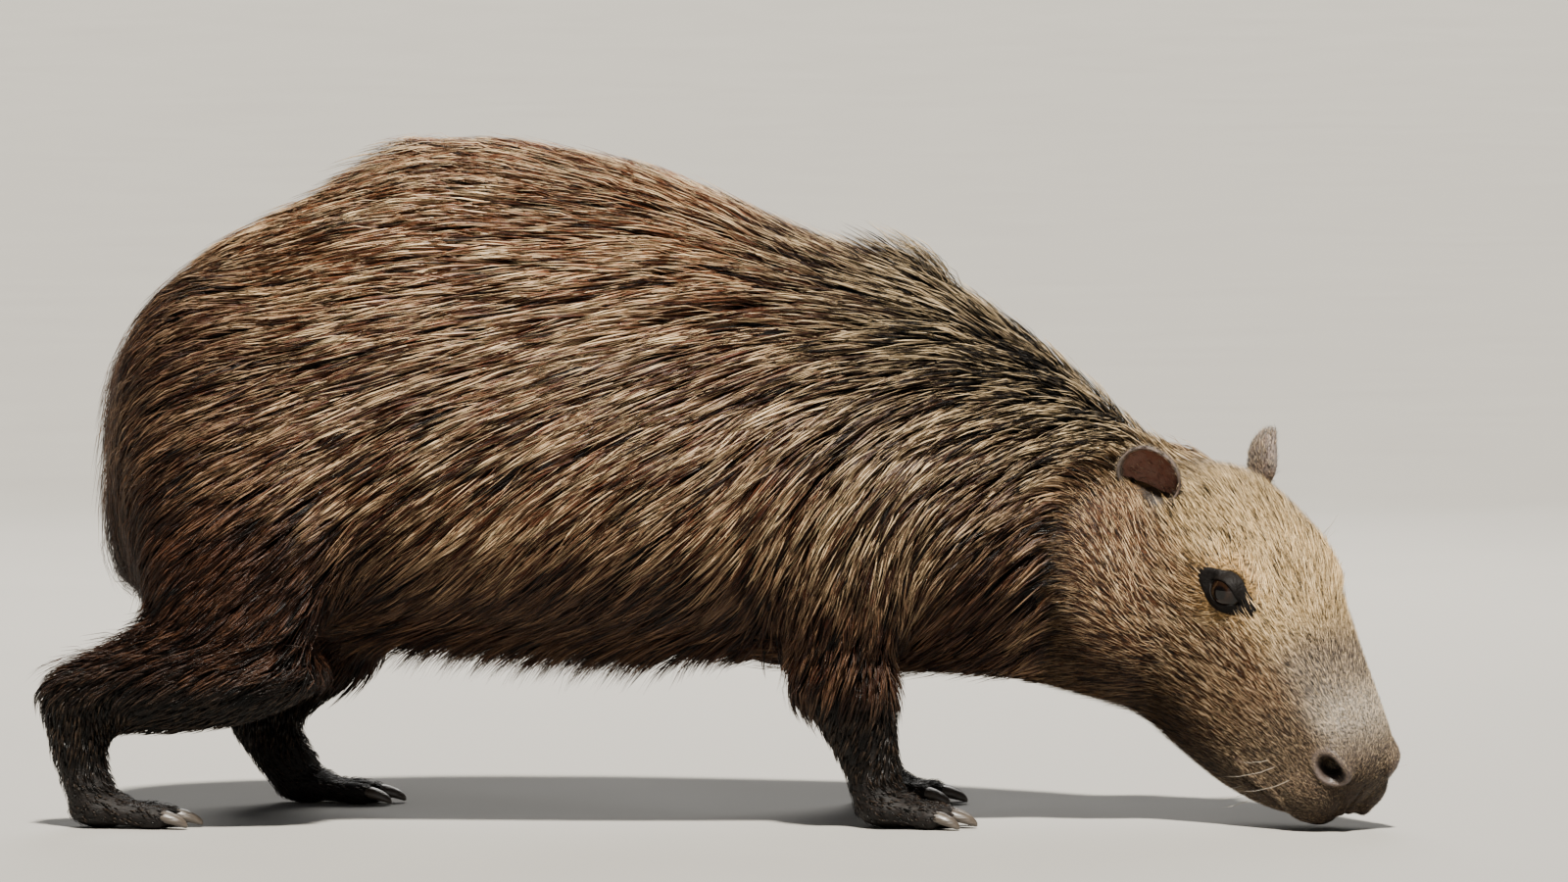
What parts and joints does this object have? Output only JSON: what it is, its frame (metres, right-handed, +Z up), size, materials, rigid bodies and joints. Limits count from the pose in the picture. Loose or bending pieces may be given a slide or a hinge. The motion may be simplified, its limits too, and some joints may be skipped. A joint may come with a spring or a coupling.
{
  "type": "capybara animal model",
  "caption": "Life-size still model of a capybara walking with its head down to graze, in a wet, bristly reddish-brown coat",
  "frame": {"origin": "on the floor under the middle of the model", "axes": "+X the way the animal faces, +Y its left side, +Z up"},
  "size_m": [1.0947, 0.3799, 0.5605],
  "materials": {
    "long_coat": "wet, glossy bristles in clumps, reddish brown and dark brown with pale straw tips",
    "face_fur": "short flat fur, grizzled yellowish tan, greyer on the muzzle",
    "leg_fur": "short black-brown fur with a wet sheen",
    "ear_skin": "thin short fur over grey-brown skin",
    "eye": "dark brown, wet and glossy",
    "claw": "dark grey-brown horn, worn dull at the tips"
  },
  "bodies": {
    "root": {"head": "face_fur", "neck": "long_coat", "torso": "long_coat", "ear_right": "ear_skin", "eye_right": "eye", "thigh_right": "long_coat", "upper_arm_right": "long_coat", "shank_right": "leg_fur", "forearm_right": "leg_fur", "hind_foot_right": "leg_fur", "fore_foot_right": "leg_fur", "ear_left": "ear_skin", "eye_left": "eye", "thigh_left": "long_coat", "upper_arm_left": "long_coat", "shank_left": "leg_fur", "forearm_left": "leg_fur", "hind_foot_left": "leg_fur", "fore_foot_left": "leg_fur", "hind_claw_right_1": "claw", "hind_claw_right_2": "claw", "hind_claw_right_3": "claw", "fore_claw_right_1": "claw", "fore_claw_right_2": "claw", "fore_claw_right_3": "claw", "fore_claw_right_4": "claw", "hind_claw_left_1": "claw", "hind_claw_left_2": "claw", "hind_claw_left_3": "claw", "fore_claw_left_1": "claw", "fore_claw_left_2": "claw", "fore_claw_left_3": "claw", "fore_claw_left_4": "claw"}
  },
  "joints": []
}
